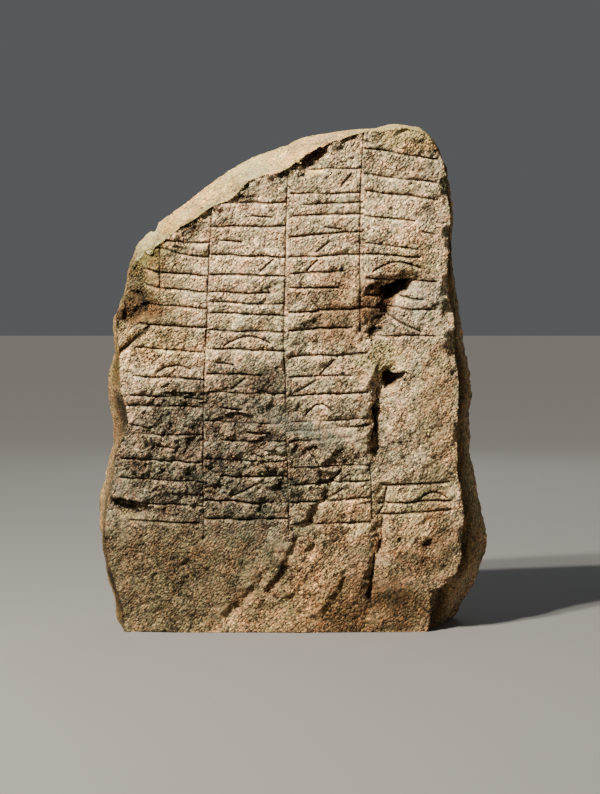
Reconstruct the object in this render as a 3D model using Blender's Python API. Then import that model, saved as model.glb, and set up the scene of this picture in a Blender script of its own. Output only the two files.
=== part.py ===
"""A standing memorial stone: one granite boulder with a flat carved face, cut off level with the ground.

The face looks towards -Y and Z is up. Three closed loops run round the stone: the arris of the
carved face, the widest girth about half way back, and the edge of the back. A subdivided cube is
laid over those loops, and the stone's broad hollows, ledges and cracks are then pressed into it.
"""

import bmesh
import bpy
import numpy as np
from mathutils import Vector, noise

# Driving sizes in metres. Depths run from the carved face (-Y) to the back (+Y), given at the ground.
FACE_DEPTH = -0.30
GIRTH_DEPTH = -0.03
BACK_DEPTH = 0.28

# How far each surface leans per metre of height, and how much its middle stands proud of its edges.
FACE_LEAN = 0.045
BACK_LEAN = -0.07
FACE_CROWN = 0.02
BACK_CROWN = 0.08

# The girth wanders this far towards the face and the back, this many radians per metre of height.
GIRTH_SWING = 0.03
GIRTH_WAVES = 5.0

# The back loop as a share of the girth's width and height.
BACK_WIDTH_SHARE = 0.82
BACK_HEIGHT_SHARE = 0.93

# Cuts of the starting cube across the face, up the stone and through it.
CUTS_ACROSS = 33
CUTS_UP = 45
CUTS_THROUGH = 7

# Rounds of relaxing that spread the points inside the flat base.
BASE_ROUNDS = 80

# The left side from the ground up: height, x of the girth, x of the face arris.
LEFT_SIDE = np.array([
    (0.00, -0.663, -0.612),
    (0.12, -0.687, -0.634),
    (0.20, -0.709, -0.658),
    (0.30, -0.732, -0.681),
    (0.40, -0.736, -0.688),
    (0.57, -0.703, -0.657),
    (0.70, -0.671, -0.640),
    (0.76, -0.680, -0.611),
    (0.82, -0.690, -0.607),
    (0.90, -0.693, -0.624),
    (0.98, -0.684, -0.632),
    (1.03, -0.669, -0.634),
    (1.08, -0.669, -0.637),
    (1.13, -0.673, -0.642),
    (1.18, -0.654, -0.642),
    (1.22, -0.640, -0.630),
    (1.26, -0.627, -0.612),
    (1.34, -0.616, -0.592),
    (1.41, -0.597, -0.553),
    (1.48, -0.535, -0.468),
])

# The right side from the ground up, in the same way.
RIGHT_SIDE = np.array([
    (0.00, 0.610, 0.500),
    (0.07, 0.659, 0.514),
    (0.14, 0.702, 0.542),
    (0.20, 0.732, 0.590),
    (0.26, 0.752, 0.619),
    (0.31, 0.756, 0.624),
    (0.38, 0.736, 0.629),
    (0.43, 0.720, 0.635),
    (0.50, 0.704, 0.621),
    (0.57, 0.693, 0.612),
    (0.66, 0.673, 0.610),
    (0.77, 0.672, 0.607),
    (0.86, 0.674, 0.614),
    (0.93, 0.669, 0.616),
    (1.03, 0.650, 0.600),
    (1.15, 0.634, 0.597),
    (1.24, 0.625, 0.578),
    (1.33, 0.616, 0.573),
    (1.46, 0.605, 0.577),
    (1.52, 0.613, 0.583),
    (1.61, 0.600, 0.575),
    (1.71, 0.579, 0.566),
    (1.79, 0.548, 0.537),
])

# The sloping top from left to right: x of the girth, its height, and the height of the arris below it.
TOP = np.array([
    (-0.530, 1.483, 1.436),
    (-0.480, 1.527, 1.476),
    (-0.400, 1.588, 1.520),
    (-0.350, 1.632, 1.556),
    (-0.280, 1.685, 1.580),
    (-0.240, 1.710, 1.609),
    (-0.200, 1.732, 1.650),
    (-0.150, 1.763, 1.672),
    (-0.080, 1.792, 1.682),
    (0.000, 1.815, 1.727),
    (0.080, 1.834, 1.774),
    (0.180, 1.849, 1.812),
    (0.260, 1.856, 1.834),
    (0.320, 1.861, 1.840),
    (0.370, 1.875, 1.845),
    (0.410, 1.873, 1.848),
    (0.460, 1.864, 1.838),
    (0.500, 1.848, 1.823),
    (0.545, 1.792, 1.768),
])
GIRTH, ARRIS = 1, 2

# Smooth noise that roughens the surfaces: how long its waves are, and how high.
FACE_WAVE = (0.28, 0.006)
LONG_WAVE = (0.45, 0.018)
CREASE = (0.30, 0.016)
SHORT_WAVE = (0.12, 0.006)

# Above this height the waves also push upwards, by this share of the height above it.
TOP_BEGINS = 1.2
TOP_SHARE = 0.6

# A level notch across the front of the left flank.
NOTCH_HEIGHT = 0.755
NOTCH_HALF_HEIGHT = 0.035
NOTCH_DEPTH = 0.018

# Natural cleavage faces behind the girth: a point on each, and the direction that it looks in.
CLEAVAGE_FACES = (
    ((-0.40, -0.03, 1.615), (-0.41, 0.77, 0.49)),
    ((0.00, -0.03, 1.835), (-0.19, 0.76, 0.62)),
    ((0.35, -0.03, 1.890), (0.03, 0.80, 0.60)),
    ((0.62, -0.02, 1.50), (0.56, 0.83, 0.04)),
    ((0.70, 0.02, 0.95), (0.80, 0.59, 0.12)),
    ((0.64, 0.13, 0.38), (0.66, 0.72, -0.22)),
    ((-0.70, 0.02, 1.00), (-0.66, 0.74, 0.12)),
    ((-0.70, 0.08, 0.42), (-0.86, 0.48, -0.16)),
    ((-0.16, 0.205, 0.70), (-0.17, 0.98, 0.09)),
    ((0.22, 0.230, 0.42), (0.15, 0.97, -0.19)),
    ((0.16, 0.170, 1.20), (0.12, 0.98, 0.14)),
)


def curve_through(points, column, where):
    """A smooth curve read from a table: on each span a cubic with its neighbours' slope at both ends."""
    at, values = points[:, 0], points[:, column]
    slopes = np.gradient(values, at)
    span = np.clip(np.searchsorted(at, where, side="right") - 1, 0, len(at) - 2)
    width = at[span + 1] - at[span]
    rise = values[span + 1] - values[span]
    start, end = slopes[span] * width, slopes[span + 1] * width
    t = (where - at[span]) / width
    return values[span] + t * (start + t * (3 * rise - 2 * start - end + t * (start + end - 2 * rise)))


def loop_patch(across, up, column):
    """x and z inside one loop: each row runs from the left side to the right, each column up to the top."""
    left = curve_through(LEFT_SIDE, column, up * LEFT_SIDE[-1, 0])
    right = curve_through(RIGHT_SIDE, column, up * RIGHT_SIDE[-1, 0])
    top = curve_through(TOP, column, TOP[0, 0] + across * (TOP[-1, 0] - TOP[0, 0]))
    return left + across * (right - left), up * top


def lay_over_loops(cube):
    """Moves the points of a cube from -1 to 1 onto the stone.

    From the face to the girth a point runs straight from one loop to the next. From the girth to
    the back it follows a quarter of an ellipse, so that the back's edges are round.
    """
    across, up = (cube[:, 0] + 1) / 2, (cube[:, 2] + 1) / 2
    face_x, face_z = loop_patch(across, up, ARRIS)
    girth_x, girth_z = loop_patch(across, up, GIRTH)
    back_x, back_z = girth_x * BACK_WIDTH_SHARE, girth_z * BACK_HEIGHT_SHARE

    off_middle = (2 * across - 1) ** 2
    face_y = FACE_DEPTH + FACE_LEAN * face_z + FACE_CROWN * off_middle
    off_back = np.maximum(off_middle, (2 * up - 1) ** 2 * (up > 0.5))
    back_y = BACK_DEPTH + BACK_LEAN * back_z - BACK_CROWN * off_back
    girth_y = GIRTH_DEPTH + GIRTH_SWING * np.sin(GIRTH_WAVES * girth_z + np.sign(across - 0.5))

    face = np.column_stack([face_x, face_y, face_z])
    girth = np.column_stack([girth_x, girth_y, girth_z])
    back = np.column_stack([back_x, back_y, back_z])
    through = cube[:, 1:2]
    forward = np.clip(through + 1, 0, 1)
    turn = np.clip(through, 0, 1) * np.pi / 2
    behind = np.column_stack([
        back[:, 0] + (girth[:, 0] - back[:, 0]) * np.cos(turn[:, 0]),
        girth[:, 1] + (back[:, 1] - girth[:, 1]) * np.sin(turn[:, 0]),
        back[:, 2] + (girth[:, 2] - back[:, 2]) * np.cos(turn[:, 0]),
    ])
    return np.where(through < 0, face + (girth - face) * forward, behind)


def dish(x, z, centre, half_sizes, turn=0.0):
    """A smooth dish from 0 at its rim to 1 at its centre, on an ellipse turned by an angle in radians."""
    dx, dz = x - centre[0], z - centre[1]
    along = (dx * np.cos(turn) + dz * np.sin(turn)) / half_sizes[0]
    over = (dz * np.cos(turn) - dx * np.sin(turn)) / half_sizes[1]
    return np.clip(1 - along**2 - over**2, 0, 1) ** 2


def valley(x, z, start, end, half_width):
    """A smooth valley along a straight line: 1 on the line and 0 at half_width from it."""
    run, rise = end[0] - start[0], end[1] - start[1]
    t = np.clip(((x - start[0]) * run + (z - start[1]) * rise) / (run**2 + rise**2), 0, 1)
    away = np.hypot(x - start[0] - t * run, z - start[1] - t * rise)
    return np.clip(1 - (away / half_width) ** 2, 0, 1) ** 2


def face_hollows(x, z):
    """How far the carved face is set back at each point, in metres, by its breaks, ledges and cracks.

    In order: the scoop, the hole below it, the two cracks that run down from it, the ledge low on
    the left, the hollow high on the left, the break under the top arris and the three dents.
    """
    depth = 0.030 * dish(x, z, (0.365, 1.270), (0.090, 0.065))
    depth += 0.035 * dish(x, z, (0.355, 0.935), (0.060, 0.055))
    depth += 0.020 * valley(x, z, (0.320, 0.880), (0.315, 0.620), 0.055)
    depth += 0.014 * valley(x, z, (0.350, 0.520), (0.295, 0.120), 0.055)
    depth += 0.026 * dish(x, z, (-0.590, 0.450), (0.100, 0.050))
    depth += 0.030 * dish(x, z, (-0.565, 1.190), (0.080, 0.085))
    depth += 0.028 * dish(x, z, (0.085, 1.725), (0.090, 0.065), 0.6)
    depth += 0.016 * dish(x, z, (-0.300, 1.490), (0.200, 0.060), 0.5)
    depth += 0.012 * dish(x, z, (-0.050, 0.520), (0.090, 0.050))
    depth += 0.010 * dish(x, z, (0.060, 0.400), (0.070, 0.050))
    return depth


def flutes(x, z):
    """Shallow parallel flutes low on the face, which rise to the right at about 50 degrees."""
    pitch, height, rise = 0.085, 0.006, np.radians(51.5)
    patch = dish(x, z, (0.010, 0.250), (0.260, 0.190))
    across = x * np.sin(rise) - z * np.cos(rise)
    return height * patch * np.sin(2 * np.pi * across / pitch)


def undulation(points, scale, seed):
    """Smooth noise between about -1 and 1 over the stone, whose waves are about scale metres long."""
    shift = Vector((seed, 2.0 * seed, 3.0 * seed))
    return np.array([noise.noise(Vector(point) / scale + shift) for point in points])


def split_off(points):
    """Takes away what stands beyond each cleavage face, and leaves the edges between them a little worn."""
    wear = 0.010
    for place, looks in CLEAVAGE_FACES:
        outward = np.array(looks) / np.linalg.norm(looks)
        beyond = (points - place) @ outward
        points -= np.outer(wear * np.logaddexp(0, beyond / wear), outward)


def weather(points, cube):
    """Presses the broken and weathered shapes into the laid-out stone.

    The face is moved along Y. The flanks and the back swell and sink away from the stone's upright
    axis, and near its top also away from the height where the top begins. The ground plane keeps
    its height.
    """
    x, z = points[:, 0], points[:, 2]
    on_face = cube[:, 1] < -0.99
    set_back = face_hollows(x, z) + flutes(x, z) + FACE_WAVE[1] * undulation(points, FACE_WAVE[0], 4.0)
    points[:, 1] += set_back * on_face
    split_off(points)

    away = points * (1.0, 1.0, 0.0)
    away[:, 2] = TOP_SHARE * np.maximum(z - TOP_BEGINS, 0)
    # Near the axis the line away from it turns fast, so the waves fade out there.
    away /= np.linalg.norm(away, axis=1, keepdims=True) + 0.05
    behind = np.clip(cube[:, 1] + 0.3, 0, 1)
    swell = LONG_WAVE[1] * undulation(points, LONG_WAVE[0], 1.0)
    swell += CREASE[1] * (0.5 - np.abs(undulation(points, CREASE[0], 3.0)))
    swell += SHORT_WAVE[1] * undulation(points, SHORT_WAVE[0], 2.0)
    points += away * (swell * behind)[:, None]

    left_flank = (cube[:, 0] < -0.99) & ~on_face
    in_front = np.clip(-2 * cube[:, 1], 0, 1)
    notch = NOTCH_DEPTH * np.exp(-(((z - NOTCH_HEIGHT) / NOTCH_HALF_HEIGHT) ** 2))
    points[:, 0] += notch * in_front * left_flank
    points[cube[:, 2] < -0.99, 2] = 0.0


def subdivided_cube():
    """A cube from -1 to 1 whose edges are cut evenly, with their own number of cuts along X, Y and Z."""
    stone = bmesh.new()
    bmesh.ops.create_cube(stone, size=2)
    for axis, cuts in ((0, CUTS_ACROSS), (1, CUTS_THROUGH), (2, CUTS_UP)):
        along = [edge for edge in stone.edges if abs(edge.verts[0].co[axis] - edge.verts[1].co[axis]) > 1]
        bmesh.ops.subdivide_edges(stone, edges=along, cuts=cuts, use_grid_fill=True)
    return stone


def spread_evenly(stone, where, rounds):
    """Relaxes points of the mesh towards the middle of their neighbours, the same number of rounds each."""
    axes = {"use_axis_x": True, "use_axis_y": True, "use_axis_z": True}
    for _ in range(rounds):
        bmesh.ops.smooth_vert(stone, verts=where, factor=0.5, **axes)


def centre_over_origin(points):
    """Moves the stone so that its box is centred over the origin and its base lies on the ground."""
    middle = (points.min(axis=0) + points.max(axis=0)) / 2
    points[:, :2] -= middle[:2]


def granite():
    """The stone's plain material: pinkish grey granite, rough and not shiny."""
    material = bpy.data.materials.new("granite")
    material.use_nodes = True
    shader = material.node_tree.nodes["Principled BSDF"]
    shader.inputs["Base Color"].default_value = (0.34, 0.27, 0.21, 1.0)
    shader.inputs["Roughness"].default_value = 0.9
    shader.inputs["Metallic"].default_value = 0.0
    return material


def build_stone(collection):
    """Makes the one solid of the stone, standing on the ground plane."""
    stone = subdivided_cube()
    cube = np.array([vert.co for vert in stone.verts])
    points = lay_over_loops(cube)
    weather(points, cube)
    centre_over_origin(points)
    for vert, point in zip(stone.verts, points):
        vert.co = point
    inside_base = [
        vert for vert, at in zip(stone.verts, cube) if at[2] < -0.99 and max(abs(at[0]), abs(at[1])) < 0.99
    ]
    spread_evenly(stone, inside_base, BASE_ROUNDS)
    bmesh.ops.triangulate(stone, faces=stone.faces)

    mesh = bpy.data.meshes.new("rune_stone")
    stone.to_mesh(mesh)
    stone.free()
    mesh.shade_smooth()
    mesh.materials.append(granite())
    collection.objects.link(bpy.data.objects.new("rune_stone", mesh))


for leftover in list(bpy.data.objects):
    bpy.data.objects.remove(leftover)
parts = bpy.data.collections.new("rune stone")
bpy.context.scene.collection.children.link(parts)
build_stone(parts)
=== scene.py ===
"""A standing memorial stone, finished: a granite boulder with one carved face, worn and overgrown.

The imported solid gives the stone's shape. Its surface is cut finer here and carved: strokes, breaks,
cracks, pits and grain are all real relief. Lengths are metres, the carved face looks towards -Y.
"""

import itertools
import math

import bpy
import numpy as np
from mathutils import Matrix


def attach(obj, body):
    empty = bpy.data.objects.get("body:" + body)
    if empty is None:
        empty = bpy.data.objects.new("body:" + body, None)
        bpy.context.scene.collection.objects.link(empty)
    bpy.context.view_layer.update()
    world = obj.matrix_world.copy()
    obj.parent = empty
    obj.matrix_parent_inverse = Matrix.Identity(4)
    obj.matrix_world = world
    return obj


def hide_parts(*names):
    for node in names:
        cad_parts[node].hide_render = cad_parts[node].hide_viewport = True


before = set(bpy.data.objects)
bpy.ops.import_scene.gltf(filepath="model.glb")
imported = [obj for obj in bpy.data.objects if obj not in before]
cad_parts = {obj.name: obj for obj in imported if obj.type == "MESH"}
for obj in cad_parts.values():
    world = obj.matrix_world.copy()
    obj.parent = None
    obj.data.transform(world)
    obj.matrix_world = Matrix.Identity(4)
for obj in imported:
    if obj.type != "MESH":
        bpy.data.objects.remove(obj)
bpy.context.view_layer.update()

# ---------------------------------------------------------------------------------------------
# Camera. It stands in front of the carved face at a person's chest height and looks a little down.
CAMERA_PLACE = (0.028, -6.4765, 1.20)
CAMERA_PITCH = math.radians(3.09)
CAMERA_LENS = 77.4

camera = bpy.data.objects.new("camera", bpy.data.cameras.new("camera"))
camera.data.lens = CAMERA_LENS
camera.location = CAMERA_PLACE
camera.rotation_euler = (math.pi / 2 - CAMERA_PITCH, 0, 0)
bpy.context.scene.collection.objects.link(camera)
bpy.context.scene.camera = camera


# ---------------------------------------------------------------------------------------------
# The stone. It is one granite boulder, split flat on the side that was dressed and carved by hand
# with a pick, then set upright in the ground. All of it is one piece.


def welded(mesh):
    """The points and triangles of a mesh of loose triangles, with points within 0.01 mm made one."""
    points = np.empty(len(mesh.vertices) * 3)
    mesh.vertices.foreach_get("co", points)
    corners = np.empty(len(mesh.polygons) * 3, np.int64)
    mesh.polygons.foreach_get("vertices", corners)
    _, first, index = np.unique(
        np.round(points.reshape(-1, 3), 5), axis=0, return_index=True, return_inverse=True
    )
    return points.reshape(-1, 3)[first], index.reshape(-1)[corners].reshape(-1, 3)


def face_normals(points, faces):
    """Each triangle's normal: the cross product of two of its edges, as long as twice its area."""
    a, b, c = points[faces[:, 0]], points[faces[:, 1]], points[faces[:, 2]]
    return np.cross(b - a, c - a)


def unit(vectors):
    """Vectors divided by their length."""
    return vectors / np.maximum(np.linalg.norm(vectors, axis=1, keepdims=True), 1e-12)


def point_normals(points, faces):
    """Each point's normal: the sum of the normals of the triangles round it, weighted by their area."""
    total = np.zeros_like(points)
    normals = face_normals(points, faces)
    for corner in range(3):
        for axis in range(3):
            total[:, axis] += np.bincount(faces[:, corner], normals[:, axis], len(points))
    return unit(total)


def edges_of(faces):
    """The mesh's edges as pairs of points, and the three edges of each triangle."""
    ends = np.sort(faces[:, [[0, 1], [1, 2], [2, 0]]].reshape(-1, 2), axis=1)
    edges, index = np.unique(ends, axis=0, return_inverse=True)
    return edges, index.reshape(-1, 3)


# An edge that turns by more than this is an arris.
ARRIS_TURN = math.radians(32)


def arris_points(points, faces):
    """True where a point lies on an edge that turns by more than ARRIS_TURN."""
    edges, edge_of = edges_of(faces)
    normals = unit(face_normals(points, faces))
    first = np.zeros(len(edges), np.int64)
    last = np.zeros(len(edges), np.int64)
    owner = np.repeat(np.arange(len(faces)), 3)
    first[edge_of.reshape(-1)[::-1]] = owner[::-1]
    last[edge_of.reshape(-1)] = owner
    turn = np.einsum("ij,ij->i", normals[first], normals[last])
    sharp = np.zeros(len(points), bool)
    sharp[edges[turn < math.cos(ARRIS_TURN)].reshape(-1)] = True
    return sharp


def halved(points, normals, sharp, faces):
    """Halves each edge longer than it may be, and the longest edge of every triangle that this touches.

    A new point lies where a curve through the edge's two ends would pass that meets both normals:
    the middle, moved by an eighth of how far each end lies off the other's tangent plane. An end on
    an arris bends no curve, so that the arris stays an edge.
    """
    edges, edge_of = edges_of(faces)
    a, b = edges[:, 0], edges[:, 1]
    along = points[b] - points[a]
    middle = (points[a] + points[b]) / 2
    length = np.linalg.norm(along, axis=1)
    cut = length > longest_allowed(middle, unit(normals[a] + normals[b]), sharp[a] | sharp[b])
    longest = edge_of[np.arange(len(faces)), length[edge_of].argmax(axis=1)]
    while not cut[longest[cut[edge_of].any(axis=1)]].all():
        cut[longest[cut[edge_of].any(axis=1)]] = True

    off_a = np.einsum("ij,ij->i", along, normals[a]) * ~sharp[a]
    off_b = -np.einsum("ij,ij->i", along, normals[b]) * ~sharp[b]
    curved = middle - (off_a[:, None] * normals[a] + off_b[:, None] * normals[b]) / 8
    both = normals[a] + normals[b]
    lean = np.einsum("ij,ij->i", along, both) / np.maximum(length**2, 1e-12)
    curved_normals = unit(both - lean[:, None] * along)

    new = np.full(len(edges), -1)
    new[cut] = len(points) + np.arange(cut.sum())
    points = np.concatenate([points, curved[cut]])
    normals = np.concatenate([normals, curved_normals[cut]])
    sharp = np.concatenate([sharp, (sharp[a] & sharp[b])[cut]])

    turn = length[edge_of].argmax(axis=1)[:, None]
    order = (turn + np.arange(3)) % 3
    p, q, r = np.take_along_axis(faces, order, axis=1).T
    pq, qr, rp = new[np.take_along_axis(edge_of, order, axis=1)].T
    whole = pq < 0
    left, left_cut = (pq >= 0) & (rp < 0), (pq >= 0) & (rp >= 0)
    right, right_cut = (pq >= 0) & (qr < 0), (pq >= 0) & (qr >= 0)
    pieces = (
        (whole, p, q, r),
        (left, p, pq, r),
        (left_cut, p, pq, rp),
        (left_cut, pq, r, rp),
        (right, pq, q, r),
        (right_cut, pq, q, qr),
        (right_cut, pq, qr, r),
    )
    faces = np.concatenate([np.column_stack(corners)[chosen] for chosen, *corners in pieces])
    return points, normals, sharp, faces


# The line along which the granite splits: patterns come out longer along it.
GRAIN_LINE = np.array([0.70, 0.0, 0.714])


def stretched(points, lengthen):
    """Points squeezed along GRAIN_LINE, so that a pattern laid over them comes out longer along it."""
    return points + np.outer(points @ GRAIN_LINE * (1 / lengthen - 1), GRAIN_LINE)


# Large primes that scatter a lattice's cells, and the shifts that mix the bits further.
CELL_PRIMES = (73856093, 19349663, 83492791)
SEED_PRIME = 2654435761
MIXING_PRIME = 1274126177
MIXING_SHIFTS = (13, 16, 11)
KEPT_BITS = 0x7FFFFFFFFFFF


def random_triples(cells, seed):
    """Three numbers from -1 to 1 for each whole-numbered cell, the same ones on each run.

    The cell's three numbers and the seed are multiplied by primes and joined bit by bit. Each
    number comes from 16 bits of that after another shift and multiplication.
    """
    mixed = np.full(len(cells), seed * SEED_PRIME)
    for axis, prime in enumerate(CELL_PRIMES):
        mixed ^= cells[:, axis] * prime
    triples = []
    for shift in MIXING_SHIFTS:
        mixed = (mixed ^ (mixed >> shift)) * MIXING_PRIME & KEPT_BITS
        triples.append((mixed >> 9 & 0xFFFF) / (0xFFFF / 2) - 1)
    return np.column_stack(triples)


NOISE_REACH = 1.6


def noise(points, size, seed, lengthen=1.0):
    """Smooth noise between about -1 and 1, whose bumps are about size metres across.

    Every corner of a cubic lattice has its own random slope. A point blends the eight slopes round
    it by the curve 6t^5 - 15t^4 + 10t^3 of its place in the cell, and NOISE_REACH spreads the result
    to the whole range. Lengthen stretches the bumps along GRAIN_LINE.
    """
    scaled = stretched(points / size, lengthen)
    cell = np.floor(scaled).astype(np.int64)
    place = scaled - cell
    fade = place**3 * (place * (place * 6 - 15) + 10)
    total = np.zeros(len(points))
    for corner in itertools.product((0, 1), repeat=3):
        slope = random_triples(cell + corner, seed)
        share = np.where(corner, fade, 1 - fade).prod(axis=1)
        total += share * ((place - corner) * slope).sum(axis=1)
    return total * NOISE_REACH


def pits(points, size, seed, share):
    """Round pits, 1 at their middle and evenly down to 0 at their rim, in a share of a lattice's cells.

    A pit lies within 0.4 of a cell from the cell's middle, and its radius is 0.1 to 0.6 of a cell.
    """
    scaled = points / size
    cell = np.floor(scaled).astype(np.int64)
    deepest = np.zeros(len(points))
    for step in itertools.product((-1, 0, 1), repeat=3):
        own = cell + step
        middle = own + 0.5 + 0.4 * random_triples(own, seed)
        radius = 0.35 + 0.25 * random_triples(own, seed + 1)[:, 0]
        there = random_triples(own, seed + 2)[:, 0] < 2 * share - 1
        away = np.linalg.norm(scaled - middle, axis=1)
        deepest = np.maximum(deepest, there * np.clip(1 - away / radius, 0, 1))
    return deepest


def ramp(value, low, high):
    """0 below low, 1 above high, and the curve 3t^2 - 2t^3 between. High may be the lower of the two."""
    t = np.clip((value - low) / (high - low), 0, 1)
    return t * t * (3 - 2 * t)


def facets(points, size, seed, lengthen=1.0):
    """Broken faces between about -1 and 1, about size metres across, with sharp steps between them.

    Every cell of a lattice has a middle within 0.45 of a cell from its own centre, at most 0.6 up or
    down, and a point takes the height of the tilted plane through the middle nearest to it.
    """
    scaled = stretched(points / size, lengthen)
    cell = np.floor(scaled).astype(np.int64)
    nearest_yet = np.full(len(points), np.inf)
    height = np.zeros(len(points))
    for step in itertools.product((-1, 0, 1), repeat=3):
        own = cell + step
        offset = scaled - own - 0.5 - 0.45 * random_triples(own, seed)
        away = (offset**2).sum(axis=1)
        tilt = random_triples(own, seed + 2)
        plane = 0.6 * random_triples(own, seed + 1)[:, 0] + (offset * tilt).sum(axis=1)
        height = np.where(away < nearest_yet, plane, height)
        nearest_yet = np.minimum(nearest_yet, away)
    return height


def layered(points, layers, pattern=noise):
    """A pattern in several sizes, added up. A layer is its height, size, seed and lengthening."""
    return sum(height * pattern(points, *layer) for height, *layer in layers)


# Frame lines part the face into four upright bands; each is a list of (x, z) from the top down.
FRAME_LINES = (
    ((-0.487, 1.400), (-0.486, 1.250)),
    ((-0.297, 1.560), (-0.316, 1.100), (-0.328, 0.780), (-0.326, 0.340)),
    ((-0.018, 1.685), (-0.032, 1.100), (-0.025, 0.860), (-0.012, 0.375)),
    ((0.262, 1.825), (0.247, 1.580), (0.248, 1.100)),
    ((0.284, 0.620), (0.294, 0.412)),
)

# Each band of strokes: its left and right edges at the top and at the bottom, its highest and lowest
# stroke, and how far a stroke drops from its left end to its right end at the top and at the bottom.
BANDS = (
    ((-0.520, -0.306), (-0.665, -0.330), 1.435, 0.385, (0.016, 0.012)),
    ((-0.300, -0.022), (-0.327, -0.012), 1.570, 0.375, (0.004, 0.006)),
    ((-0.012, 0.256), (-0.012, 0.290), 1.690, 0.375, (-0.010, -0.016)),
    ((0.262, 0.535), (0.270, 0.535), 1.770, 1.070, (0.036, 0.004)),
    ((0.330, 0.585), (0.294, 0.585), 0.535, 0.405, (-0.020, -0.006)),
)
# From one long stroke down to the next: short, middling and long steps, and how often each comes.
STROKE_STEPS = ((0.034, 0.046), (0.050, 0.076), (0.084, 0.108))
STROKE_STEP_SHARES = (0.14, 0.50, 0.36)
STROKE_HALF_WIDTH = 0.0058
STROKE_DEPTH = 0.0088
STROKE_DEPTH_SHARES = (0.65, 1.20)
STROKE_WANDER = 0.0010
END_PLAY = 0.010
DROP_PLAY = 0.007
# Whole strokes, those that start late and those that end early, and how much shorter these are.
WHOLE, LATE, EARLY = range(3)
STROKE_KIND_SHARES = (0.72, 0.16, 0.12)
LATE_STARTS = (0.03, 0.09)
EARLY_ENDS = (0.03, 0.10)
# Small strokes: how often a wide gap has one, how far it keeps from the long strokes and from the
# band's edges, and how big the three kinds are.
SMALL_STROKE_SHARE = 0.85
SMALL_STROKE_ROOM = 0.055
SMALL_HALF_WIDTH = 0.9 * STROKE_HALF_WIDTH
SMALL_DEPTH = 0.85 * STROKE_DEPTH
SMALL_WANDER = 0.0005
STROKE_GAP = 0.011
EDGE_GAP = 0.012
TICK, BOW, DASH = range(3)
SMALL_KIND_SHARES = (0.55, 0.20, 0.25)
SMALL_HEIGHTS = (0.026, 0.062)
TICK_LEANS = (0.35, 0.65)
TICK_FLATNESS = (0.7, 2.2)
BOW_WIDTHS = (0.10, 0.18)
DASH_WIDTHS = (0.03, 0.09)
FRAME_CUT = {"wander": 0.0006, "half_width": 0.0048, "depth": 0.0056}
# The sideways waves of a line cut by hand: their share of its wander, and their length over two pi.
WANDER_WAVES = ((1.6, 0.060), (1.0, 0.024), (0.6, 0.011))
LINE_STEP = 0.020

carver = np.random.default_rng(23)


def cut_line(ends, wander, half_width, depth):
    """One carved line as points LINE_STEP apart, which stray sideways by a sum of waves."""
    corners = np.array(ends, float)
    runs = np.hypot(*np.diff(corners, axis=0).T)
    along = np.concatenate([[0], np.cumsum(runs)])
    at = np.linspace(0, along[-1], max(3, int(along[-1] / LINE_STEP)))
    line = np.column_stack([np.interp(at, along, corners[:, 0]), np.interp(at, along, corners[:, 1])])
    phases = carver.uniform(0, 2 * math.pi, len(WANDER_WAVES))
    stray = sum(share * np.sin(at / wave + phase) for (share, wave), phase in zip(WANDER_WAVES, phases))
    run = corners[-1] - corners[0]
    sideways = np.array([-run[1], run[0]]) / np.hypot(*run)
    return line + np.outer(stray * wander, sideways), half_width, depth


def bowed(left, right, rise):
    """The points of a shallow bow from left to right, which rises by a half wave of a sine."""
    t = np.linspace(0, 1, 9)
    ends = np.outer(1 - t, left) + np.outer(t, right)
    return ends + np.outer(np.sin(math.pi * t) * rise, (0, 1))


def small_stroke(left, right, low, high):
    """A slanting tick, a bow or a short dash between two long strokes, which touches neither."""
    room = high - low - 2 * STROKE_GAP
    kind = carver.choice((TICK, BOW, DASH), p=SMALL_KIND_SHARES)
    tall = min(room, carver.uniform(*SMALL_HEIGHTS))
    foot = low + STROKE_GAP + carver.uniform(0, room - tall)
    if kind == TICK:
        wide = tall * carver.uniform(*TICK_FLATNESS)
    else:
        wide = carver.uniform(*(BOW_WIDTHS if kind == BOW else DASH_WIDTHS))
    start = carver.uniform(left + EDGE_GAP, right - EDGE_GAP - wide)
    if kind == TICK:
        lean = carver.choice((-1, 1), p=TICK_LEANS)
        return ((start, foot + tall * (lean < 0)), (start + wide, foot + tall * (lean > 0)))
    if kind == BOW:
        return bowed((start, foot), (start + wide, foot + 0.3 * tall), 0.7 * tall)
    return ((start, foot + tall / 2), (start + wide, foot + tall / 2 - 0.1 * wide))


def band_strokes(top, bottom, highest, lowest, drops):
    """The strokes of one band from the top down: long ones across it, and small ones in wide gaps."""
    strokes = []
    z = highest
    while z > lowest:
        share = (highest - z) / (highest - lowest)
        left = top[0] + share * (bottom[0] - top[0])
        right = top[1] + share * (bottom[1] - top[1])
        start, end = left + carver.uniform(0, END_PLAY), right - carver.uniform(0, END_PLAY)
        kind = carver.choice((WHOLE, LATE, EARLY), p=STROKE_KIND_SHARES)
        start += (kind == LATE) * carver.uniform(*LATE_STARTS)
        end -= (kind == EARLY) * carver.uniform(*EARLY_ENDS)
        drop = drops[0] + share * (drops[1] - drops[0]) + carver.uniform(-DROP_PLAY, DROP_PLAY)
        depth = STROKE_DEPTH * carver.uniform(*STROKE_DEPTH_SHARES)
        strokes.append(cut_line(((start, z), (end, z - drop)), STROKE_WANDER, STROKE_HALF_WIDTH, depth))
        step = carver.uniform(*STROKE_STEPS[carver.choice(3, p=STROKE_STEP_SHARES)])
        wide_gap = step > SMALL_STROKE_ROOM + max(drop, 0)
        if wide_gap and carver.random() < SMALL_STROKE_SHARE:
            small = small_stroke(left, right, z - step, z - max(drop, 0))
            strokes.append(cut_line(small, SMALL_WANDER, SMALL_HALF_WIDTH, SMALL_DEPTH))
        z -= step
    return strokes


strokes = [cut_line(line, **FRAME_CUT) for line in FRAME_LINES]
for band in BANDS:
    strokes += band_strokes(*band)

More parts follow.
